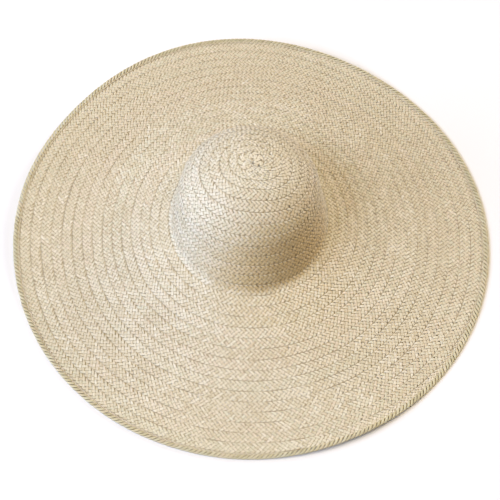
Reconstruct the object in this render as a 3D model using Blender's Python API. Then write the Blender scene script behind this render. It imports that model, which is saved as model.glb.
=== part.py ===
"""A wide-brim straw hat as it lies on a table: crown tip, crown top, crown wall, brim and edge braid.

The real hat is one flat plait of palm leaf, coiled from the middle of the crown and sewn row on row
like shingles: each row's outer edge lies over the next row. So every wall here is one surface with two
coordinates, the arc length from the crown's tip and the angle round the hat, and the row edges run
across it as a spiral that goes outwards anticlockwise, seen from above.

Metres, +Z up, the front of the hat towards -Y. The origin is on the table, under the crown's middle.
"""

import math

import bmesh
import bpy
import numpy as np

# Crown, to the middle of its wall
CROWN_RADIUS = 0.0980  # mean radius where the wall turns into the brim
CROWN_HEIGHT = 0.0998  # from that turn up to the tip
CROWN_OVAL_SHARE = 0.050  # share by which it is longer there from front to back, and narrower across
TIP_OVAL_SHARE = -0.050  # the same at the tip, which is wider across
FOOT_SHIFT = (-0.0036, -0.0038)  # middle of the crown's foot, from the middle of the brim's edge
TIP_SHIFT = (-0.0013, 0.0072)  # the tip, from the same: the crown leans back a little
TIP_REACH = 0.0233  # arc length from the tip to the edge of the round medallion
SHOULDER_REACH = 0.0780  # arc length from the tip to the shoulder, where the top turns into the wall

# Brim, to the middle of its wall
BRIM_WIDTH = 0.1820  # level distance from the crown to the outer edge
BRIM_RISE = 0.0375  # height of its inner edge over its outer edge
BRIM_CURL = 1.6  # power with which it rises: 1 is a straight cone, more lies flatter at the edge
RIM_LIFT = 0.0200  # how far the highest wave of the rim stands off the table

# Plait
STRAW_WALL = 0.0022  # two layers of leaf and the air between them
ROW_PITCH = 0.0122  # from one row's edge to the next
ROW_START = 0.09  # share of a turn that the coil has run when it first crosses the ray at +X
ROW_LIP = 0.0009  # how far a row's outer edge stands over the row below it
LIP_RUN = 0.0016  # length over which the lip comes down again
EDGE_WIDTH = 0.0084  # the two narrow rows that finish the brim
EDGE_HEIGHT = 0.0036  # their height off the table

JOINT_GAP = 0.0003  # between pieces that are sewn together
SIDES = 56  # straight stretches round the hat

# Slope of the crown, from level, against the share of the way from its tip to its turn into the brim.
# The last stretch turns from the steep wall into the brim's own slope.
CROWN_SLOPES = (
    # (share of the way, degrees down from level)
    (0.00, 0.0),
    (0.12, 10.8),
    (0.24, 18.6),
    (0.36, 31.4),
    (0.48, 48.2),
    (0.63, 74.5),
    (0.80, 73.5),
    (0.94, 73.5),
)

# Waves of the rim, which stands off the table in these directions
RIM_WAVES = (
    # (middle in degrees from +X towards +Y, half spread in degrees, share of RIM_LIFT)
    (110.0, 70.0, 1.00),
    (172.0, 35.0, 0.50),
    (-65.0, 27.0, 0.28),
)

# Upper outline of the edge's two narrow rows, across the edge and up from the table
EDGE_OUTLINE = (
    # (share of EDGE_WIDTH, share of EDGE_HEIGHT)
    (0.00, 0.62),
    (0.14, 0.94),
    (0.34, 0.96),
    (0.50, 0.74),
    (0.66, 0.96),
    (0.86, 0.90),
    (1.00, 0.45),
)
EDGE_SOLE = (0.06, 0.92)  # shares of EDGE_WIDTH between which the underside is flat

CURVE_SAMPLES = 400
LIFT_START = 0.74  # share of the crown's radius inside which the rim's waves no longer show
MERGE_DISTANCE = 1e-6
SHARP_DEG = 40.0

BRIM_RADIUS = CROWN_RADIUS + BRIM_WIDTH
ANGLES = np.linspace(0.0, 2.0 * math.pi, SIDES + 1)


def crown_curve():
    """Radius and height of the crown's middle line, from the tip down to the brim.

    The slopes are summed along the line, and the result is drawn out to the crown's radius and height.
    """
    shares, slopes = (list(column) for column in zip(*CROWN_SLOPES))
    brim_slope = math.degrees(math.atan(BRIM_CURL * BRIM_RISE / (BRIM_WIDTH - EDGE_WIDTH)))
    way = np.linspace(0.0, 1.0, CURVE_SAMPLES)
    slope = np.radians(np.interp(way, shares + [1.0], slopes + [brim_slope]))
    middle = (slope[1:] + slope[:-1]) / 2.0
    across = np.concatenate([[0.0], np.cumsum(np.cos(middle))])
    down = np.concatenate([[0.0], np.cumsum(np.sin(middle))])
    return across / across[-1] * CROWN_RADIUS, BRIM_RISE + CROWN_HEIGHT * (1.0 - down / down[-1])


def brim_curve():
    """Radius and height of the brim's middle line: level under the edge braid, then ever steeper inwards."""
    out = np.linspace(0.0, BRIM_WIDTH, CURVE_SAMPLES)
    inside_edge = np.clip(1.0 - out / (BRIM_WIDTH - EDGE_WIDTH), 0.0, 1.0)
    return CROWN_RADIUS + out, BRIM_RISE * inside_edge**BRIM_CURL


def joined_curve():
    """The whole middle line as arc length from the tip, radius and height over the table."""
    crown_radius, crown_height = crown_curve()
    brim_radius, brim_height = brim_curve()
    radius = np.concatenate([crown_radius, brim_radius[1:]])
    height = np.concatenate([crown_height, brim_height[1:]]) + EDGE_HEIGHT / 2.0
    steps = np.hypot(np.diff(radius), np.diff(height))
    return np.concatenate([[0.0], np.cumsum(steps)]), radius, height


ARC, RADIUS, HEIGHT = joined_curve()
SLOPE = np.arctan2(-np.gradient(HEIGHT, ARC), np.gradient(RADIUS, ARC))
CROWN_REACH = float(ARC[CURVE_SAMPLES - 1])
CROWN_FOOT = float(HEIGHT[CURVE_SAMPLES - 1])
RIM_REACH = float(ARC[-1])


def rim_lift(angle):
    """Height of the rim over the table in each direction."""
    lift = np.zeros_like(angle)
    for middle_deg, spread_deg, share in RIM_WAVES:
        off = (np.degrees(angle) - middle_deg + 180.0) % 360.0 - 180.0
        inside = np.abs(off) < spread_deg
        lift += np.where(inside, share * RIM_LIFT * np.cos(math.pi / 2.0 * off / spread_deg) ** 2, 0.0)
    return lift


def wall_points(arc, angle, off):
    """Points at these arc lengths and angles, this far above the middle of the wall."""
    radius = np.interp(arc, ARC, RADIUS)
    height = np.interp(arc, ARC, HEIGHT)
    slope = np.interp(arc, ARC, SLOPE)
    ovalness = np.interp(arc, (0.0, CROWN_REACH, RIM_REACH), (TIP_OVAL_SHARE, CROWN_OVAL_SHARE, 0.0))
    oval = 1.0 - ovalness * np.cos(2.0 * angle)
    lift_start = LIFT_START * CROWN_RADIUS
    lifted = np.clip((radius - lift_start) / (BRIM_RADIUS - lift_start), 0.0, 1.0) ** 2
    up = np.clip((height - CROWN_FOOT) / CROWN_HEIGHT, 0.0, 1.0)
    inside = np.clip((BRIM_RADIUS - radius) / BRIM_WIDTH, 0.0, 1.0)
    shift = [inside * (foot + (tip - foot) * up) for foot, tip in zip(FOOT_SHIFT, TIP_SHIFT)]
    level = (radius + off * np.sin(slope)) * oval
    x = level * np.cos(angle) + shift[0]
    y = level * np.sin(angle) + shift[1]
    return np.stack([x, y, height + off * np.cos(slope) + lifted * rim_lift(angle)], axis=-1)


def turn_share(angle):
    """Share of a turn that the plait has run in each direction since the last full row."""
    return angle / (2.0 * math.pi) + ROW_START


def lip_height(arc, angle):
    """Height of the laid rows over the wall: rising along each row to its lip, then down to the next."""
    row = arc / ROW_PITCH - turn_share(angle)
    along = row - np.floor(row)
    crest = 1.0 - LIP_RUN / ROW_PITCH
    rise = np.where(along < crest, along / crest, (1.0 - along) / (1.0 - crest))
    return ROW_LIP * rise * np.clip(arc / ROW_PITCH, 0.0, 1.0)


def row_lines(start, end, marks):
    """Arc lengths of the marked lines of every row on each meridian, held between two circles.

    A line leaves the stretch at one circle as the next one enters at the other, so the first and the last
    meridian, which are the same ray, hold the same set of points.
    """
    first = math.floor(start / ROW_PITCH) - 2
    last = math.ceil(end / ROW_PITCH)
    rows = np.arange(first, last + 1)[:, None] + np.asarray(marks)[None, :]
    lines = ROW_PITCH * (rows.reshape(-1, 1) + turn_share(ANGLES)[None, :])
    return np.clip(lines, start, end)


def laid_rows(start, end):
    """Arc length and height of every line of a wall of sewn rows: its top outwards, its underside back."""
    crest = 1.0 - LIP_RUN / ROW_PITCH
    top = row_lines(start, end, (0.0, crest))
    under = row_lines(start, end, (0.0,))[::-1]
    top_off = STRAW_WALL / 2.0 + lip_height(top, ANGLES[None, :])
    under_off = np.full_like(under, -STRAW_WALL / 2.0)
    return np.concatenate([top, under]), np.concatenate([top_off, under_off])


def edge_rows(start, end):
    """Arc length and height of the lines of the edge braid, whose underside is flat on the table."""
    across, up = (np.array(column) for column in zip(*EDGE_OUTLINE))
    across = np.concatenate([across, EDGE_SOLE[::-1]])
    up = np.concatenate([up, [0.0, 0.0]])
    arc = start + (end - start) * across
    off = EDGE_HEIGHT * (up - 0.5)
    return np.repeat(arc[:, None], SIDES + 1, axis=1), np.repeat(off[:, None], SIDES + 1, axis=1)


def straw_material(name, colour, roughness):
    """A plain straw finish, with its colour as linear red, green and blue."""
    material = bpy.data.materials.new(name)
    material.use_nodes = True
    shader = material.node_tree.nodes["Principled BSDF"]
    shader.inputs["Base Color"].default_value = (*colour, 1.0)
    shader.inputs["Roughness"].default_value = roughness
    shader.inputs["Metallic"].default_value = 0.0
    return material


def make_wall(name, lines, material):
    """One closed wall, with its section's lines in order round the section."""
    arc, off = lines
    points = wall_points(arc, np.broadcast_to(ANGLES, arc.shape), off)
    index = np.arange(arc.size).reshape(arc.shape)
    beyond = np.roll(index, -1, axis=0)
    quads = np.stack([index[:, :-1], index[:, 1:], beyond[:, 1:], beyond[:, :-1]], axis=-1)

    mesh = bpy.data.meshes.new(name)
    mesh.from_pydata(points.reshape(-1, 3).tolist(), [], quads.reshape(-1, 4).tolist())
    shape = bmesh.new()
    shape.from_mesh(mesh)
    bmesh.ops.remove_doubles(shape, verts=shape.verts, dist=MERGE_DISTANCE)
    loose = [edge for edge in shape.edges if not edge.link_faces]
    bmesh.ops.delete(shape, geom=loose, context="EDGES")
    bmesh.ops.recalc_face_normals(shape, faces=shape.faces)
    shape.to_mesh(mesh)
    shape.free()
    mesh.shade_smooth()
    mesh.set_sharp_from_angle(angle=math.radians(SHARP_DEG))
    mesh.materials.append(material)

    wall = bpy.data.objects.new(name, mesh)
    bpy.context.scene.collection.objects.link(wall)
    return wall


def make_hat():
    """The five pieces, from the tip outwards, parented to one empty on the table."""
    top_start = TIP_REACH + JOINT_GAP
    wall_start = SHOULDER_REACH + JOINT_GAP
    brim_start = CROWN_REACH + JOINT_GAP
    edge_start = RIM_REACH - EDGE_WIDTH
    pieces = (
        ("crown_tip", laid_rows(0.0, TIP_REACH), (0.68, 0.60, 0.46), 0.62),
        ("crown_top", laid_rows(top_start, SHOULDER_REACH), (0.67, 0.59, 0.45), 0.62),
        ("crown_wall", laid_rows(wall_start, CROWN_REACH), (0.66, 0.58, 0.43), 0.62),
        ("brim", laid_rows(brim_start, edge_start - JOINT_GAP), (0.68, 0.61, 0.47), 0.64),
        ("edge_braid", edge_rows(edge_start, RIM_REACH), (0.62, 0.55, 0.40), 0.66),
    )
    table = bpy.data.objects.new("table_centre", None)
    bpy.context.scene.collection.objects.link(table)
    for name, lines, colour, roughness in pieces:
        make_wall(name, lines, straw_material(name + "_straw", colour, roughness)).parent = table


def main():
    """Clears the scene and makes the hat."""
    for old in list(bpy.data.objects):
        bpy.data.objects.remove(old, do_unlink=True)
    make_hat()


main()
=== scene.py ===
"""Looks of a wide-brim straw hat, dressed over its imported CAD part.

The hat is one long flat plait of five palm-leaf strands. It is coiled from the middle of the crown outwards,
and each row is sewn so that its inner edge lies on top of the row inside it. The rim is bound with a thin
strip of leaf. All lengths are in metres, +Z is up and the frame is that of the CAD part.
"""

import logging
import math
from dataclasses import dataclass, field
from enum import Enum
from functools import cached_property

import bpy
import numpy as np
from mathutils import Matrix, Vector


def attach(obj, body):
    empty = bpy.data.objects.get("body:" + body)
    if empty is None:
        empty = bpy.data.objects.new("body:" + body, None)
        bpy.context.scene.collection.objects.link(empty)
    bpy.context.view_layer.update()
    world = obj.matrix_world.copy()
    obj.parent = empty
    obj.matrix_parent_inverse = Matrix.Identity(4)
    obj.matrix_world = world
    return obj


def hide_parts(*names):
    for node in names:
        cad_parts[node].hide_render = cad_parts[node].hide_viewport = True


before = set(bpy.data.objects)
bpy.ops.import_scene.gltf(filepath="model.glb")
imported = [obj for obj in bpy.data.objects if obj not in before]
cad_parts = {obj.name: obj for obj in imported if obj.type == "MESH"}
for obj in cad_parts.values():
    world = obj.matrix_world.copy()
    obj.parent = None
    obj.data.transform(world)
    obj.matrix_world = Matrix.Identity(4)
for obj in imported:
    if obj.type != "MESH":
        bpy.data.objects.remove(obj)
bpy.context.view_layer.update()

LOG = logging.getLogger("straw_hat")
BODY = "root"
FULL_TURN = 2.0 * math.pi
CM_PER_M = 100.0
SHARP_DEGREES = 60.0
TINT_SHAPE = 2.2
Grid = np.ndarray
Socket = bpy.types.NodeSocket


def srgb(code: str) -> tuple[float, float, float, float]:
    """Turn a colour into linear light.

    Args:
        code: The colour as sRGB hex, such as "d8c9a4".

    Returns:
        Linear red, green, blue and full alpha.
    """
    parts = [int(code[at:at + 2], 16) / 255.0 for at in (0, 2, 4)]
    linear = [part / 12.92 if part <= 0.04045 else ((part + 0.055) / 1.055) ** 2.4 for part in parts]
    return (*linear, 1.0)


def smooth_step(value: Grid) -> Grid:
    """Return 0 below 0, 1 above 1 and the S-curve 3v^2 - 2v^3 between them."""
    held = np.clip(value, 0.0, 1.0)
    return held * held * (3.0 - 2.0 * held)


def wave_noise(at: Grid, wavelengths: tuple[float, ...], rng: np.random.Generator) -> Grid:
    """Sum sines of the given wavelengths with random phases and heights.

    Args:
        at: Places along a line, in metres.
        wavelengths: Wavelengths in metres.
        rng: The source of phases and heights.

    Returns:
        A smooth wobble of about -1 to 1 at each place.
    """
    lengths = np.asarray(wavelengths)
    phases = rng.uniform(0.0, FULL_TURN, lengths.size)
    heights = rng.uniform(0.6, 1.0, lengths.size)
    sines = np.sin(FULL_TURN * at[..., None] / lengths + phases) * heights
    return sines.sum(axis=-1) / heights.sum()


@dataclass(frozen=True)
class HatForm:
    """The blocked form of the hat: one meridian turned round, then made oval, shifted and waved.

    The values are those of the CAD part, so the plait lies where its solids do.
    """

    crown_radius: float = 0.0980
    crown_height: float = 0.0998
    crown_oval: float = 0.050
    tip_oval: float = -0.050
    foot_shift: tuple[float, float] = (-0.0036, -0.0038)
    tip_shift: tuple[float, float] = (-0.0013, 0.0072)
    brim_width: float = 0.1820
    brim_rise: float = 0.0375
    brim_curl: float = 1.6
    rim_lift: float = 0.0200
    edge_width: float = 0.0084
    edge_height: float = 0.0036
    lift_start: float = 0.74
    samples: int = 400
    crown_slopes: tuple[tuple[float, float], ...] = (
        (0.00, 0.0), (0.12, 10.8), (0.24, 18.6), (0.36, 31.4),
        (0.48, 48.2), (0.63, 74.5), (0.80, 73.5), (0.94, 73.5),
    )
    rim_waves: tuple[tuple[float, float, float], ...] = (
        (110.0, 70.0, 1.0), (172.0, 35.0, 0.5), (-65.0, 27.0, 0.28),
    )

    @property
    def rim_radius(self) -> float:
        """Return the radius of the hat's outer edge."""
        return self.crown_radius + self.brim_width

    @property
    def crown_foot(self) -> float:
        """Return the height at which the crown's wall turns into the brim."""
        return self.brim_rise + self.edge_height / 2.0

    @cached_property
    def meridian(self) -> tuple[Grid, Grid, Grid, Grid]:
        """Work out the line from tip to rim that the form is turned from.

        The crown's slope is read from its settings and summed into radius and height, and the brim falls as a
        power of the share of the way that is left to the edge.

        Returns:
            Arc length from the tip, radius, height and slope at each sample.
        """
        inner_width = self.brim_width - self.edge_width
        last_slope = math.degrees(math.atan(self.brim_curl * self.brim_rise / inner_width))
        settings = (*self.crown_slopes, (1.0, last_slope))
        ways, degrees = (np.array(column) for column in zip(*settings))
        slopes = np.radians(np.interp(np.linspace(0.0, 1.0, self.samples), ways, degrees))
        middles = (slopes[:-1] + slopes[1:]) / 2.0
        across = np.concatenate([[0.0], np.cumsum(np.cos(middles))])
        down = np.concatenate([[0.0], np.cumsum(np.sin(middles))])
        crown_radii = across / across[-1] * self.crown_radius
        crown_heights = self.brim_rise + self.crown_height * (1.0 - down / down[-1])
        out = np.linspace(0.0, self.brim_width, self.samples)
        inside_edge = np.clip(1.0 - out / inner_width, 0.0, 1.0)
        radius = np.concatenate([crown_radii, self.crown_radius + out[1:]])
        height = np.concatenate([crown_heights, self.brim_rise * inside_edge[1:] ** self.brim_curl])
        height = height + self.edge_height / 2.0
        arc = np.concatenate([[0.0], np.cumsum(np.hypot(np.diff(radius), np.diff(height)))])
        slope = np.arctan2(-np.gradient(height, arc), np.gradient(radius, arc))
        return arc, radius, height, slope

    @cached_property
    def crown_reach(self) -> float:
        """Return the arc length from the tip to the foot of the crown."""
        return float(self.meridian[0][self.samples - 1])

    @cached_property
    def rim_reach(self) -> float:
        """Return the arc length from the tip to the rim."""
        return float(self.meridian[0][-1])

    def wave(self, angle: Grid) -> Grid:
        """Return how far the rim stands up in each direction: one squared cosine for each wave."""
        degrees = np.degrees(angle)
        total = np.zeros_like(degrees)
        for middle, spread, share in self.rim_waves:
            off = (degrees - middle + 180.0) % 360.0 - 180.0
            hump = np.cos(np.clip(off / spread, -1.0, 1.0) * math.pi / 2.0) ** 2
            total = total + share * self.rim_lift * hump
        return total

    def points(self, arc: Grid, angle: Grid, off: Grid) -> Grid:
        """Place points on the form.

        Args:
            arc: Arc length from the tip; below 0 it runs on over the tip to the other side.
            angle: Direction from the middle, in radians from +X.
            off: Height over the wall's middle surface.

        Returns:
            The points, with x, y and z on the last axis.
        """
        arcs, radii, heights, slopes = self.meridian
        radius, height, slope = (np.interp(np.abs(arc), arcs, row) for row in (radii, heights, slopes))
        radius = radius * np.sign(arc)
        reaches = (0.0, self.crown_reach, self.rim_reach)
        share = np.interp(arc, reaches, (self.tip_oval, self.crown_oval, 0.0))
        oval = 1.0 - share * np.cos(2.0 * angle)
        start = self.lift_start * self.crown_radius
        lifted = np.clip((radius - start) / (self.rim_radius - start), 0.0, 1.0) ** 2
        up = np.clip((height - self.crown_foot) / self.crown_height, 0.0, 1.0)
        inside = np.clip((self.rim_radius - radius) / self.brim_width, 0.0, 1.0)
        ends = zip(self.foot_shift, self.tip_shift)
        shift_x, shift_y = (inside * (foot + (tip - foot) * up) for foot, tip in ends)
        level = (radius + off * np.sin(slope)) * oval
        return np.stack([
            level * np.cos(angle) + shift_x,
            level * np.sin(angle) + shift_y,
            height + off * np.cos(slope) + lifted * self.wave(angle),
        ], axis=-1)


@dataclass(frozen=True)
class CoilRoute:
    """Where the plait runs on the form: rows in near circles that step out one row at the front right.

    Turns are counted anticlockwise from +X, seen from above. The line between two rows is the inner edge of the
    outer one, which lies on top.
    """

    pitch: float = 0.01205
    first_line: float = -0.00295
    step_start: float = 0.736
    step_share: float = 0.222
    first_turn: float = -0.264
    overlap: float = 0.0012
    tilt_rise: float = 0.00032
    tip_rise: float = 0.00022
    tip_fade: float = 0.110
    tip_cover: float = 0.0034
    tip_end: tuple[float, float] = (0.50, 0.80)
    mean_lift: float = 0.0003
    drift_from: tuple[float, ...] = (-0.003, 0.0091, 0.0212, 0.0332, 0.069, 0.105, 0.1296, 0.1540, 0.40)
    drift_to: tuple[float, ...] = (0.0012, 0.0136, 0.0233, 0.0332, 0.0686, 0.1037, 0.1284, 0.1540, 0.40)

    @property
    def plait_width(self) -> float:
        """Return the width of the flat plait: what shows of a row and what the next one covers."""
        return self.pitch + self.overlap

    def line(self, turns: Grid) -> Grid:
        """Return the arc length of the row line after so many turns."""
        whole = np.floor(turns)
        step = smooth_step((turns - whole - self.step_start) / self.step_share)
        return np.interp(self.first_line + self.pitch * (whole + step), self.drift_from, self.drift_to)

    def edges(self, turns: Grid, limit: float) -> tuple[Grid, Grid]:
        """Work out the plait's two edges.

        The outer edge runs a little under the next row and stops at a limit. The inner edge of the first turn
        runs on over the tip, to close it.

        Args:
            turns: Turns of the coil.
            limit: The arc length at which the rows stop.

        Returns:
            The arc lengths of the plait's inner and outer edge.
        """
        begin, end = self.tip_end
        later = smooth_step((turns - begin) / (end - begin))
        inner = self.line(turns) * later - self.tip_cover * (1.0 - later)
        return inner, np.minimum(self.line(turns + 1.0) + self.overlap, limit)


class Turning(Enum):
    """From which edge of the plait a strand sets off to cross it."""

    FROM_INNER = 1
    FROM_OUTER = -1


@dataclass(frozen=True)
class StrandShape:
    """One passage of a strand across the plait, over and under the others, with a fold at each edge.

    Each cross line has its place along the strand in strand widths, a slant that turns the end lines along the
    plait's edge, a level in layers, where over is 1 and under is -1, and the share of the leaf's width that is
    open there, because the leaf is pinched where it folds.
    """

    lines: tuple[tuple[float, float, float, float], ...] = (
        (-2.50, 1.0, 0.0, 0.38), (-2.15, 0.75, 0.70, 0.94), (-1.5, 0.0, 1.0, 1.0), (-0.5, 0.0, -1.0, 1.0),
        (0.5, 0.0, 1.0, 1.0), (1.5, 0.0, -1.0, 1.0), (2.15, 0.75, -0.70, 0.94), (2.50, 1.0, 0.0, 0.38),
    )
    columns: tuple[tuple[float, float], ...] = (
        (-0.5, 0.0), (-0.27, 1.0), (0.0, 0.35), (0.27, 1.0), (0.5, 0.0), (0.0, -1.0),
    )

    @cached_property
    def table(self) -> tuple[Grid, Grid, Grid, Grid]:
        """Lay out one crossing's vertices.

        Returns:
            For each vertex its place along and across the strand in strand widths, its level in layers and the
            share of the leaf's half thickness that it stands out by. The end lines have one vertex in the
            middle for both faces of the leaf. The upper face has two ridges, because the strips are laid in
            pairs.
        """
        rows = []
        last = len(self.lines) - 1
        under = len(self.columns) - 1
        for index, (along, slant, level, opened) in enumerate(self.lines):
            end = index in (0, last)
            for place, (across, bulge) in enumerate(self.columns):
                if end and place == under:
                    continue
                rows.append((along + slant * across * opened, across * opened, level, 0.0 if end else bulge))
        along, across, level, bulge = np.array(rows).T
        return along, across, level, bulge

    @cached_property
    def faces(self) -> Grid:
        """Return the vertex numbers of each quad, outwards for a strand that sets off from the inner edge."""
        last = len(self.lines) - 1
        columns = len(self.columns)
        starts = [0] + [columns - 1 + columns * row for row in range(last)]

        def vertex(row: int, place: int) -> int:
            """Return the number of a vertex, with the end lines' under side on their middle."""
            place = place % columns
            if row in (0, last) and place == columns - 1:
                place = columns // 2 - 1
            return starts[row] + place

        quads = [
            (vertex(row, place), vertex(row, place + 1), vertex(row + 1, place + 1), vertex(row + 1, place))
            for row in range(last)
            for place in range(columns)
        ]
        return np.array(quads)


@dataclass
class MeshPiece:
    """One finished mesh of the hat, with its name, its node in the CAD part and its slot name."""

    name: str
    node: str
    slot: str

    def build(
        self, points: Grid, faces: Grid, fibre: Grid, tone: Grid, material: bpy.types.Material,
    ) -> bpy.types.Object:
        """Put a surface into a mesh, dress it and tie it to the frame.

        Args:
            points: Vertices, one row each.
            faces: Quads as vertex numbers, one row each.
            fibre: Place along and across the leaf at each vertex, in metres.
            tone: Three random shares at each vertex that tint its leaf, and its distance from the row line.
            material: The finish.

        Returns:
            The new object.
        """
        mesh = bpy.data.meshes.new(self.name)
        count = len(faces)
        mesh.vertices.add(len(points))
        mesh.vertices.foreach_set("co", points.astype(np.float32).ravel())
        mesh.loops.add(count * 4)
        mesh.loops.foreach_set("vertex_index", faces.astype(np.int32).ravel())
        mesh.polygons.add(count)
        mesh.polygons.foreach_set("loop_start", np.arange(0, count * 4, 4, dtype=np.int32))
        mesh.update(calc_edges=True)
        layer = mesh.uv_layers.new(name="fibre")
        layer.data.foreach_set("uv", fibre[faces.ravel()].astype(np.float32).ravel())
        attribute = mesh.color_attributes.new("tone", "FLOAT_COLOR", "POINT")
        attribute.data.foreach_set("color", tone.astype(np.float32).ravel())
        mesh.shade_smooth()
        mesh.set_sharp_from_angle(angle=math.radians(SHARP_DEGREES))
        mesh.materials.append(material)
        mesh.validate()
        piece = bpy.data.objects.new(self.name, mesh)
        bpy.context.scene.collection.objects.link(piece)
        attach(piece, BODY)
        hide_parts(self.node)
        mesh.calc_loop_triangles()
        LOG.info("%s: %d triangles, finish %s", self.name, len(mesh.loop_triangles), material.name)
        return piece


class Shader:
    """A material's node tree while it is being filled."""

    def __init__(self, name: str) -> None:
        """Start a material with an empty tree and its output."""
        self.material = bpy.data.materials.new(name)
        self.material.use_nodes = True
        self.tree = self.material.node_tree
        self.tree.nodes.clear()

    def add(self, kind: str, settings: dict | None = None, **inputs: object) -> bpy.types.Node:
        """Add a node, set it up and link it.

        Args:
            kind: The node's type name, without ShaderNode.
            settings: Attributes of the node itself.
            **inputs: A value or an output socket for each input, by its name with underscores for spaces, or
                by "in" and its number.

        Returns:
            The new node.
        """
        node = self.tree.nodes.new("ShaderNode" + kind)
        for key, value in (settings or {}).items():
            setattr(node, key, value)
        for key, value in inputs.items():
            number = key[2:]
            numbered = key.startswith("in") and number.isdigit()
            socket = node.inputs[int(number) if numbered else key.replace("_", " ")]
            if isinstance(value, Socket):
                self.tree.links.new(value, socket)
            else:
                socket.default_value = value
        return node


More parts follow.
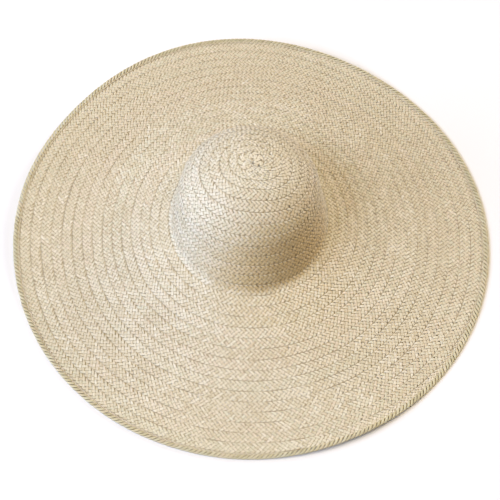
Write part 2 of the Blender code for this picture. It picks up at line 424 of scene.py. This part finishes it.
@dataclass(frozen=True)
class PalmLeaf:
    """Dried palm leaf, split into strips and plaited damp, then sewn and pressed on a block.

    To the eye it is pale beige with a slight satin sheen: fine fibres run along every strip, each strip has its
    own tone from greenish grey to pink, and a few strips carry brown flecks where the leaf was bruised.
    Shade is painted in too: the strips' edges, the groove between paired strips and the row lines are drawn
    darker, and the crown's steep wall at the front right carries a painted warm shade.
    """

    name: str = "palm_leaf_plaited"
    pale: str = "e9e0cd"
    middle: str = "dccfb4"
    dark: str = "c5b493"
    green: str = "cdcaae"
    pink: str = "dcc5ae"
    fleck: str = "7a623c"
    # The colour that the painted shade darkens towards.
    edge: str = "806b47"
    half_width: float = 0.00165
    # Painted shade: how far the strips' edges, the groove between paired strips and the row lines are drawn
    # darker.
    edge_from: float = 0.60
    edge_shade: float = 0.95
    groove_reach: float = 0.26
    groove_shade: float = 0.34
    # Painted shade along the row lines: full on the crown's top, elsewhere in patches.
    seam_shade: float = 0.70
    top_shade: float = 0.62
    seam_reach: float = 0.0009
    seam_patch: float = 0.030
    seam_noise_span: tuple[float, float] = (0.30, 0.60)
    top_heights: tuple[float, float] = (0.095, 0.125)
    # A painted warm shade on the crown's steep wall at the front right.
    tan: str = "d4b06c"
    warm_shade_share: float = 0.66
    warm_shade_middle: tuple[float, float, float] = (0.045, -0.085, 0.045)
    warm_shade_reach: tuple[float, float] = (0.045, 0.125)
    wall_slopes: tuple[float, float] = (0.86, 0.62)
    # Real fibres lie closer than a pixel of the render, so they are drawn coarser, 0.55 mm apart.
    fibre_spacing: float = 0.00055
    fibre_squeeze: float = 0.05
    # Patches and flecks to the metre, along and across the leaf.
    patch_rate: tuple[float, float, float] = (90.0, 260.0, 1.0)
    fleck_rate: tuple[float, float, float] = (150.0, 700.0, 1.0)
    # Weights of the leaf's own tone, its fibres and its patches, and the span of their sum.
    tone_weights: tuple[float, float, float] = (0.40, 0.5, 0.5)
    tone_span: tuple[float, float] = (0.30, 1.10)
    # Where each tint sets in and is full, and its share there.
    green_span: tuple[float, float, float] = (0.55, 1.0, 0.45)
    pink_span: tuple[float, float, float] = (0.40, 0.0, 0.40)
    fleck_span: tuple[float, float, float] = (0.74, 0.84, 0.7)
    bruise_weight: float = 0.10
    roughness: float = 0.52
    gloss: float = 0.35
    sheen: float = 0.08
    sheen_roughness: float = 0.4
    relief: float = 0.00006
    relief_strength: float = 0.6

    def make(self) -> bpy.types.Material:
        """Build the material.

        Returns:
            A material that reads the "fibre" map, in metres along and across the leaf, and the "tone"
            attribute.
        """
        shader = Shader(self.name)
        place = shader.add("UVMap", {"uv_map": "fibre"}).outputs["UV"]
        tone = shader.add("Attribute", {"attribute_name": "tone"}).outputs
        around = shader.add("TexCoord").outputs["Object"]
        stretch = 1.0 / self.fibre_spacing
        fibres = shader.add("Mapping", Vector=place, Scale=(stretch * self.fibre_squeeze, stretch, 1.0))
        fine = shader.add(
            "TexNoise", {"noise_dimensions": "2D"}, Vector=fibres.outputs["Vector"], Scale=1.0, Detail=2.0,
        ).outputs["Fac"]
        tinted = self.tinted(shader, place, tone["Color"], fine)
        # Painted warm shade on the front right of the crown's wall.
        warm_shaded = self.warm_shaded(shader, around, tinted)
        shade = self.shaded(shader, place, around, tone["Alpha"])
        # Mix the painted shade of edges, groove and row lines into the colour.
        colour = shader.add("Mix", {"data_type": "RGBA"}, in0=shade, in6=warm_shaded, in7=srgb(self.edge)).outputs[2]
        bump = shader.add("Bump", Strength=self.relief_strength, Distance=self.relief, Height=fine)
        skin = shader.add(
            "BsdfPrincipled", Base_Color=colour, Roughness=self.roughness, Normal=bump.outputs["Normal"],
            Specular_IOR_Level=self.gloss, Sheen_Weight=self.sheen, Sheen_Roughness=self.sheen_roughness,
        )
        shader.add("OutputMaterial", Surface=skin.outputs["BSDF"])
        return shader.material

    def tinted(self, shader: Shader, place: Socket, tone: Socket, fine: Socket) -> Socket:
        """Colour the leaf from dark to pale by tone, fibres and patches, then with green, pink and flecks.

        Args:
            shader: The material's tree.
            place: Metres along and across the leaf.
            tone: The leaf's random shares.
            fine: The pattern of the fibres.

        Returns:
            The colour of the leaf.
        """
        shares = shader.add("SeparateColor", in0=tone).outputs
        patches = shader.add("Mapping", Vector=place, Scale=self.patch_rate).outputs["Vector"]
        blotch = shader.add(
            "TexNoise", {"noise_dimensions": "2D"}, Vector=patches, Scale=1.0, Detail=2.0,
        ).outputs["Fac"]
        of_tone, of_fibre, of_patch = self.tone_weights
        own = shader.add("Math", {"operation": "MULTIPLY"}, in0=shares["Red"], in1=of_tone).outputs[0]
        mixed = shader.add("Math", {"operation": "MULTIPLY_ADD"}, in0=fine, in1=of_fibre, in2=own).outputs[0]
        value = shader.add(
            "Math", {"operation": "MULTIPLY_ADD"}, in0=blotch, in1=of_patch, in2=mixed,
        ).outputs[0]
        low, high = self.tone_span
        level = shader.add("MapRange", Value=value, From_Min=low, From_Max=high).outputs["Result"]
        ramp = shader.add("ValToRGB", in0=level)
        stops = ramp.color_ramp.elements
        stops[0].color, stops[1].color = srgb(self.dark), srgb(self.pale)
        stops.new(0.5).color = srgb(self.middle)
        spots = shader.add("Mapping", Vector=place, Scale=self.fleck_rate).outputs["Vector"]
        spot = shader.add(
            "TexNoise", {"noise_dimensions": "2D"}, Vector=spots, Scale=1.0, Detail=1.0,
        ).outputs["Fac"]
        bruise = shader.add(
            "Math", {"operation": "MULTIPLY_ADD"}, in0=shares["Blue"], in1=self.bruise_weight, in2=spot,
        ).outputs[0]
        colour = ramp.outputs["Color"]
        for source, (begin, end, most), code in (
            (shares["Green"], self.green_span, self.green),
            (shares["Green"], self.pink_span, self.pink),
            (bruise, self.fleck_span, self.fleck),
        ):
            amount = shader.add("MapRange", Value=source, From_Min=begin, From_Max=end, To_Max=most)
            colour = shader.add(
                "Mix", {"data_type": "RGBA"}, in0=amount.outputs["Result"], in6=colour, in7=srgb(code),
            ).outputs[2]
        return colour

    def warm_shaded(self, shader: Shader, around: Socket, colour: Socket) -> Socket:
        """Paint a warm shade near one place, on the steep wall only: painted shade on the crown's front right.

        Args:
            shader: The material's tree.
            around: Object coordinates.
            colour: The colour of the leaf.

        Returns:
            The colour with the painted warm shade on it.
        """
        warm_shade_distance = shader.add("VectorMath", {"operation": "DISTANCE"}, in0=around, in1=self.warm_shade_middle)
        warm_inner, warm_outer = self.warm_shade_reach
        near = shader.add(
            "MapRange", {"interpolation_type": "SMOOTHSTEP"}, Value=warm_shade_distance.outputs["Value"], From_Min=warm_outer,
            From_Max=warm_inner, To_Max=self.warm_shade_share,
        ).outputs["Result"]
        normal = shader.add("NewGeometry").outputs["True Normal"]
        upright = shader.add("SeparateXYZ", Vector=normal).outputs["Z"]
        level = shader.add("Math", {"operation": "ABSOLUTE"}, in0=upright).outputs[0]
        flat, steep = self.wall_slopes
        on_wall = shader.add("MapRange", Value=level, From_Min=flat, From_Max=steep).outputs["Result"]
        amount = shader.add("Math", {"operation": "MULTIPLY"}, in0=near, in1=on_wall).outputs[0]
        return shader.add("Mix", {"data_type": "RGBA"}, in0=amount, in6=colour, in7=srgb(self.tan)).outputs[2]

    def shaded(self, shader: Shader, place: Socket, around: Socket, line: Socket) -> Socket:
        """Work out the painted shade: the strips' edges, the groove between two strips and the row lines are
        drawn darker, where shade falls in the crevices.

        The painted shade of the row lines is deepest on the crown's top, and elsewhere comes in patches.

        Args:
            shader: The material's tree.
            place: Metres along and across the leaf.
            around: Object coordinates.
            line: Centimetres from the next row's line.

        Returns:
            How far the colour goes towards the painted shade colour, 0 to 1.
        """
        side = shader.add("SeparateXYZ", Vector=place).outputs["Y"]
        off_middle = shader.add("Math", {"operation": "ABSOLUTE"}, in0=side).outputs[0]
        # The row lines' painted shade comes and goes in patches from a noise, and is full on the crown's top.
        seam_noise = shader.add("TexNoise", Vector=around, Scale=1.0 / self.seam_patch, Detail=2.0).outputs["Fac"]
        shut, wide = self.seam_noise_span
        patchy_seam_shade = shader.add("MapRange", Value=seam_noise, From_Min=shut, From_Max=wide, To_Max=self.seam_shade)
        height = shader.add("SeparateXYZ", Vector=around).outputs["Z"]
        low, high = self.top_heights
        on_top = shader.add("MapRange", Value=height, From_Min=low, From_Max=high, To_Max=self.top_shade)
        row_line_shade = shader.add(
            "Math", {"operation": "MAXIMUM"}, in0=patchy_seam_shade.outputs["Result"], in1=on_top.outputs["Result"],
        ).outputs[0]
        shade: Socket | float = 0.0
        # Painted shade: the strips' edges, the groove between the paired strips and the row lines.
        for source, begin, end, most in (
            (off_middle, self.half_width * self.edge_from, self.half_width, self.edge_shade),
            (off_middle, self.half_width * self.groove_reach, 0.0, self.groove_shade),
            (line, CM_PER_M * self.seam_reach, 0.0, row_line_shade),
        ):
            dark = shader.add(
                "MapRange", {"interpolation_type": "SMOOTHSTEP"}, Value=source, From_Min=begin, From_Max=end,
                To_Max=most,
            ).outputs["Result"]
            shade = shader.add("Math", {"operation": "MAXIMUM"}, in0=shade, in1=dark).outputs[0]
        return shade


@dataclass
class CoiledPlait:
    """The hat's wall: the five-strand plait, strand by strand, along its whole coil."""

    form: HatForm
    route: CoilRoute
    shape: StrandShape = field(default_factory=StrandShape)
    strands: int = 5
    repeat: float = 0.0053
    leaf_share: float = 0.88
    leaf_thickness: float = 0.00080
    layer_lift: float = 0.00052
    # Painted shade: the rows are drawn darker from here outwards, by up to this share of the tone.
    outer_shade_from: float = 0.175
    outer_shade_share: float = 0.85
    sway: float = 0.00035
    lip_sway: float = 0.00018
    rim_cover: float = 0.0050
    least_row: float = 0.003
    middle_share: float = 0.6
    lead: float = 1.25
    place_spread: float = 0.07
    width_spread: float = 0.06
    thickness_spread: float = 0.10
    lift_spread: float = 0.12
    strand_gap: float = 3.7
    leaf_lengths: tuple[float, float] = (0.12, 0.40)
    leaves: int = 220
    tint_spread: tuple[float, float, float] = (0.21, 0.09, 0.10)
    # The share of the painted outer shade that stays at the front.
    front_shade_share: float = 0.2
    sway_waves: tuple[float, ...] = (0.031, 0.083, 0.217, 0.61)
    lip_waves: tuple[float, ...] = (0.047, 0.131, 0.37)
    seed: int = 11
    route_samples: int = 24000

    @cached_property
    def limit(self) -> float:
        """Return the arc length at which the rows stop, a little under the rim's binding."""
        return self.form.rim_reach - self.form.edge_width + self.rim_cover

    @cached_property
    def track(self) -> tuple[Grid, Grid, Grid, Grid]:
        """Walk along the coil.

        Returns:
            Length of plait laid, turns, inner edge and outer edge at many places from the middle to the rim.
        """
        row_count = self.form.rim_reach / self.route.pitch + 2.0
        turns = np.linspace(self.route.first_turn, row_count, self.route_samples)
        inner, outer = self.route.edges(turns, self.limit)
        kept = outer - inner > self.least_row
        kept[: self.route_samples // 2] = True
        turns, inner, outer = turns[kept], inner[kept], outer[kept]
        arc = inner * (1.0 - self.middle_share) + outer * self.middle_share
        middle = self.form.points(arc, turns * FULL_TURN, np.zeros_like(turns))
        steps = np.linalg.norm(np.diff(middle, axis=0), axis=1)
        return np.concatenate([[0.0], np.cumsum(steps)]), turns, inner, outer

    def surface(self, along: Grid, across: Grid, up: Grid) -> Grid:
        """Bend flat plait onto the hat.

        A place along the plait gives the turn, a place across it is shared out between its two edges on the
        form, and its height is laid on a slope that lifts the inner edge over the row inside.

        Args:
            along: Metres of plait from its start.
            across: Metres from the plait's middle line, outwards.
            up: Metres over the plait's middle layer.

        Returns:
            The points on the hat.
        """
        laid, turns, inner, outer = self.track
        turn = np.interp(along, laid, turns)
        low, high = np.interp(along, laid, inner), np.interp(along, laid, outer)
        share = across / self.route.plait_width + 0.5
        rng = np.random.default_rng(self.seed * 3)
        arc = low + (high - low) * share + self.sway * wave_noise(along, self.sway_waves, rng)
        tip_lip = self.route.tip_rise * (1.0 - smooth_step(low / self.route.tip_fade))
        lip = self.route.tilt_rise + tip_lip + self.lip_sway * wave_noise(along, self.lip_waves, rng)
        off = self.route.mean_lift + lip * (0.5 - share) + up
        return self.form.points(arc, turn * FULL_TURN, off)

    def from_line(self, along: Grid, across: Grid) -> Grid:
        """Return how far inside the next row's line each place lies, in centimetres."""
        laid, _, inner, outer = self.track
        width = np.interp(along, laid, outer - inner)
        return CM_PER_M * ((0.5 - across / self.route.plait_width) * width - self.route.overlap)

    def crossings(self, turning: Turning) -> dict[str, Grid]:
        """Work out every crossing that sets off from one edge of the plait.

        Args:
            turning: The edge they set off from.

        Returns:
            Points, fibre places and tones for each vertex, and where each crossing starts, as arrays whose
            first axis is the crossing.
        """
        rng = np.random.default_rng(self.seed + turning.value)
        laid = self.track[0]
        count = int((laid[-1] - 2.0 * self.repeat) / self.repeat)
        half = self.repeat / 2.0 if turning is Turning.FROM_OUTER else 0.0
        starts = self.repeat * np.arange(count) + half
        width = self.repeat / math.sqrt(2.0)
        along, across, level, bulge = self.shape.table
        wobble = rng.normal(0.0, self.place_spread, (count, 1)) * width
        leaf = self.leaf_share * (1.0 + rng.normal(0.0, self.width_spread, (count, 1)))
        strip = along[None, :] * width
        side = across[None, :] * width * leaf
        x = starts[:, None] + self.lead * self.repeat + (strip + side) / math.sqrt(2.0) + wobble
        y = turning.value * (strip - side) / math.sqrt(2.0)
        thickness = self.leaf_thickness * (1.0 + rng.normal(0.0, self.thickness_spread, (count, 1)))
        lift = self.layer_lift * (1.0 + rng.normal(0.0, self.lift_spread, (count, 1)))
        up = level[None, :] * lift + bulge[None, :] * thickness / 2.0
        points = self.surface(x, y, up)
        number = np.arange(count)
        strand = (number if turning is Turning.FROM_INNER else number + 3) % self.strands
        fibre = np.stack([math.sqrt(2.0) * x + strand[:, None] * self.strand_gap, side], axis=-1)
        tones = np.repeat(self.leaf_tones(starts, strand)[:, None, :], x.shape[1], axis=1)
        tones = np.concatenate([tones, self.from_line(x, y)[..., None]], axis=-1)
        return {"points": points, "fibre": fibre, "tones": tones, "starts": starts}

    def leaf_tones(self, starts: Grid, strand: Grid) -> Grid:
        """Give each crossing its leaf's tint: a strand keeps one tint until the next leaf is spliced in.

        The tone is painted darker towards the rim, most of all at the back: painted shade of the brim's outer
        back.

        Args:
            starts: Where each crossing starts along the plait.
            strand: Which of the strands it is.

        Returns:
            Three shares for each crossing: tone, hue and how bruised the leaf is.
        """
        rng = np.random.default_rng(self.seed * 7)
        splices = np.cumsum(rng.uniform(*self.leaf_lengths, (self.strands, self.leaves)), axis=1)
        tints = rng.beta(TINT_SHAPE, TINT_SHAPE, (self.strands, self.leaves, 3))
        jitter = rng.normal(0.0, 1.0, (len(starts), 3)) * np.array(self.tint_spread)
        tones = np.zeros((len(starts), 3))
        for index in range(self.strands):
            mine = strand == index
            leaf = np.searchsorted(splices[index], starts[mine])
            tones[mine] = tints[index][leaf]
        # Painted shade: the tone darkens towards the rim, more at the back than at the front.
        laid, turns, _, outer = self.track
        past = np.interp(starts, laid, outer) - self.outer_shade_from
        outwards = past / (self.form.rim_reach - self.outer_shade_from)
        backwards = 0.5 + 0.5 * np.sin(np.interp(starts, laid, turns) * FULL_TURN)
        back_shade = self.front_shade_share + (1.0 - self.front_shade_share) * backwards
        tones[:, 0] -= self.outer_shade_share * smooth_step(outwards) * back_shade
        return np.clip(tones + jitter, 0.0, 1.0)

    def sections(self, parts: tuple[tuple[MeshPiece, float], ...], material: bpy.types.Material) -> None:
        """Build the coil as pieces, cut across the plait.

        Args:
            parts: Each piece with the arc length at which the plait's outer edge leaves it.
            material: The finish of the leaf.
        """
        both = {turning: self.crossings(turning) for turning in Turning}
        laid, _, _, outer = self.track
        begin = -1.0
        for part, reach in parts:
            end = float(laid[np.searchsorted(outer, reach)]) if reach < outer[-1] else float(laid[-1])
            points, faces, fibre, tones = [], [], [], []
            total = 0
            for turning, data in both.items():
                chosen = (data["starts"] > begin) & (data["starts"] <= end)
                number = int(chosen.sum())
                size = data["points"].shape[1]
                quads = self.shape.faces if turning is Turning.FROM_OUTER else self.shape.faces[:, ::-1]
                offsets = total + size * np.arange(number)
                points.append(data["points"][chosen].reshape(-1, 3))
                fibre.append(data["fibre"][chosen].reshape(-1, 2))
                tones.append(data["tones"][chosen].reshape(-1, 4))
                faces.append((quads[None] + offsets[:, None, None]).reshape(-1, 4))
                total += number * size
            part.build(*(np.concatenate(rows) for rows in (points, faces, fibre, tones)), material)
            begin = end


@dataclass
class RimBinding:
    """The rim: a thin strip of leaf wound round the last row, turn after turn."""

    form: HatForm
    width: float = 0.0064
    taper: float = 0.42
    spacing: float = 0.0051
    strip_width: float = 0.0049
    thickness: float = 0.00045
    lean: float = -0.0034
    profile_points: int = 16
    width_lines: int = 5
    corner_power: float = 0.75
    swell_spread: float = 0.03
    wrap_length: float = 0.02
    leaf_run: float = 0.3
    seed: int = 23

    def profile(self) -> tuple[Grid, Grid, Grid]:
        """Return a flat oval round the rim's core: shares of the way round, arc length and height."""
        share = np.arange(self.profile_points) / self.profile_points
        turn = FULL_TURN * share
        wide = np.sign(np.cos(turn)) * np.abs(np.cos(turn)) ** self.corner_power
        tall = np.sign(np.sin(turn)) * np.abs(np.sin(turn)) ** self.corner_power
        half_wide = self.width / 2.0 - self.thickness
        half_tall = self.form.edge_height / 2.0 - self.thickness
        return share, self.form.rim_reach - self.width / 2.0 + half_wide * wide, half_tall * tall

    def make(self, part: MeshPiece, material: bpy.types.Material) -> None:
        """Build the binding: each wrap is a closed loop of leaf, crowned across, leaning along the rim.

        The wraps are narrowest on the inside, where the strip goes in between two stitches.

        Args:
            part: Its name and places.
            material: The finish of the leaf.
        """
        rng = np.random.default_rng(self.seed)
        share, arc, off = self.profile()
        around = FULL_TURN * (self.form.rim_radius - self.width / 2.0)
        count = int(round(around / self.spacing))
        step = FULL_TURN / count
        columns = np.linspace(-0.5, 0.5, self.width_lines)
        crown = self.thickness * (1.0 - (2.0 * columns) ** 2) ** 0.5
        wrap = step * np.arange(count)[:, None, None]
        lean = self.lean / self.form.rim_radius * np.cos(FULL_TURN * share)[None, :, None]
        inwards = (1.0 - np.cos(FULL_TURN * share))[None, :, None] / 2.0
        across = columns[None, None, :] * self.strip_width * (1.0 - self.taper * inwards)
        angle = wrap + lean + across / self.form.rim_radius
        swell = 1.0 + rng.normal(0.0, self.swell_spread, (count, 1, 1))
        mid = self.form.rim_reach - self.width / 2.0
        half_wide = self.width / 2.0
        half_tall = self.form.edge_height / 2.0
        grow = crown[None, None, :]
        arcs = mid + (arc - mid)[None, :, None] * (1.0 + grow / half_wide) * swell
        offs = off[None, :, None] * (1.0 + grow / half_tall)
        shape = np.broadcast_shapes(angle.shape, arcs.shape, offs.shape)
        angle, arcs, offs = (np.broadcast_to(row, shape) for row in (angle, arcs, offs))
        points = self.form.points(np.clip(arcs, None, self.form.rim_reach), angle, offs)
        points[..., 2] = np.maximum(points[..., 2], 0.0)
        size = self.profile_points * self.width_lines
        row = np.arange(self.profile_points)[:, None]
        column = np.arange(self.width_lines - 1)[None, :]
        following = (row + 1) % self.profile_points
        quads = np.stack([
            row * self.width_lines + column,
            following * self.width_lines + column,
            following * self.width_lines + column + 1,
            row * self.width_lines + column + 1,
        ], axis=-1).reshape(-1, 4)
        faces = (quads[None] + size * np.arange(count)[:, None, None]).reshape(-1, 4)
        length = np.broadcast_to(share[None, :, None] * self.wrap_length, shape) + wrap * self.leaf_run
        fibre = np.stack([length, np.broadcast_to(columns * self.strip_width, shape)], axis=-1)
        tints = np.concatenate([rng.beta(TINT_SHAPE, TINT_SHAPE, (count, 3)), np.ones((count, 1))], axis=1)
        tone = np.repeat(tints, size, axis=0)
        part.build(points.reshape(-1, 3), faces, fibre.reshape(-1, 2), tone, material)


@dataclass(frozen=True)
class Lamp:
    """A soft square light: where it stands, seen from the hat, its side, its power and its colour."""

    name: str
    azimuth: float
    elevation: float
    distance: float
    side: float
    watts: float
    tint: str

    def light(self) -> None:
        """Put the lamp into the scene, turned towards the hat."""
        azimuth, elevation = math.radians(self.azimuth), math.radians(self.elevation)
        data = bpy.data.lights.new(self.name, "AREA")
        data.shape, data.size = "SQUARE", self.side
        data.energy, data.color = self.watts, srgb(self.tint)[:3]
        lamp = bpy.data.objects.new(self.name, data)
        level = math.cos(elevation)
        out = Vector((level * math.cos(azimuth), level * math.sin(azimuth), math.sin(elevation)))
        lamp.location = out * self.distance
        lamp.rotation_euler = out.to_track_quat("Z", "Y").to_euler()
        bpy.context.scene.collection.objects.link(lamp)


@dataclass(frozen=True)
class Studio:
    """The camera at the photograph's angle, a pale floor and soft light."""

    target: tuple[float, float, float] = (-0.001681, -0.025672, 0.0018)
    distance: float = 1.250
    elevation: float = 60.641
    roll: float = 0.479
    lens: float = 76.67
    sensor: float = 36.0
    clip: tuple[float, float] = (0.05, 60.0)
    floor_size: float = 14.0
    floor_tint: str = "e8e4e1"
    ambient: float = 0.01
    lamps: tuple[Lamp, ...] = (
        Lamp("window", 200.0, 38.0, 6.0, 4.5, 665.0, "cedeff"),
        Lamp("ceiling", 0.0, 86.0, 6.0, 3.6, 190.0, "ffe496"),
        Lamp("bounce", 35.0, 26.0, 6.0, 3.2, 250.0, "f4f4ff"),
    )

    def camera(self) -> None:
        """Make the camera: it looks along +Y, down by its elevation, and rolls about its line of sight."""
        elevation, roll = math.radians(self.elevation), math.radians(self.roll)
        data = bpy.data.cameras.new("camera")
        data.lens, data.sensor_width, data.sensor_fit = self.lens, self.sensor, "HORIZONTAL"
        data.clip_start, data.clip_end = self.clip
        camera = bpy.data.objects.new("camera", data)
        bpy.context.scene.collection.objects.link(camera)
        back = Vector((0.0, -math.cos(elevation), math.sin(elevation)))
        camera.location = Vector(self.target) + back * self.distance
        turn = back.to_track_quat("Z", "Y").to_matrix()
        right, up = turn.col[0], turn.col[1]
        leaned = turn.copy()
        leaned.col[0] = right * math.cos(roll) + up * math.sin(roll)
        leaned.col[1] = up * math.cos(roll) - right * math.sin(roll)
        camera.rotation_euler = leaned.to_euler()
        bpy.context.scene.camera = camera

    def floor(self) -> None:
        """Lay a plain white floor at height 0."""
        half = self.floor_size / 2.0
        mesh = bpy.data.meshes.new("floor")
        corners = [(-half, -half, 0.0), (half, -half, 0.0), (half, half, 0.0), (-half, half, 0.0)]
        mesh.from_pydata(corners, [], [(0, 1, 2, 3)])
        shader = Shader("paper_white_matt")
        paper = shader.add(
            "BsdfPrincipled", Base_Color=srgb(self.floor_tint), Roughness=1.0, Specular_IOR_Level=0.0,
        )
        shader.add("OutputMaterial", Surface=paper.outputs["BSDF"])
        mesh.materials.append(shader.material)
        sheet = bpy.data.objects.new("floor", mesh)
        bpy.context.scene.collection.objects.link(sheet)

    def build(self) -> None:
        """Set up the lights, the floor and the plain colour response."""
        scene = bpy.context.scene
        scene.view_settings.view_transform = "Standard"
        scene.view_settings.look = "None"
        world = bpy.data.worlds.new("studio")
        world.use_nodes = True
        world.node_tree.nodes["Background"].inputs["Color"].default_value = srgb("ffffff")
        world.node_tree.nodes["Background"].inputs["Strength"].default_value = self.ambient
        scene.world = world
        for lamp in self.lamps:
            lamp.light()
        self.floor()


def main() -> None:
    """Build the studio and the hat, in order, and tie every piece to the frame."""
    logging.basicConfig(level=logging.INFO, format="%(name)s: %(message)s")
    studio = Studio()
    studio.camera()
    studio.build()
    form = HatForm()
    leaf = PalmLeaf().make()
    plait = CoiledPlait(form, CoilRoute())
    plait.sections((
        (MeshPiece("tip_plait", "crown_tip", "tip_straw"), 0.0233),
        (MeshPiece("top_plait", "crown_top", "crown_straw"), 0.0780),
        (MeshPiece("wall_plait", "crown_wall", "wall_straw"), form.crown_reach),
        (MeshPiece("brim_plait_1", "brim", "brim_straw"), 0.220),
        (MeshPiece("brim_plait_2", "brim", "brim_straw"), 0.268),
        (MeshPiece("brim_plait_3", "brim", "brim_straw"), 0.313),
        (MeshPiece("brim_plait_4", "brim", "brim_straw"), 1.0),
    ), leaf)
    # The binding's strips carry painted shade on their edges and in their groove.
    binding = PalmLeaf(
        name="palm_leaf_binding", pale="ddd3b6", middle="cdc19c", dark="b0a278", half_width=0.00245,
        edge_shade=0.65, groove_shade=0.45,
    ).make()
    RimBinding(form).make(MeshPiece("rim_binding", "edge_braid", "edge_straw"), binding)


if __name__ == "__main__":
    main()
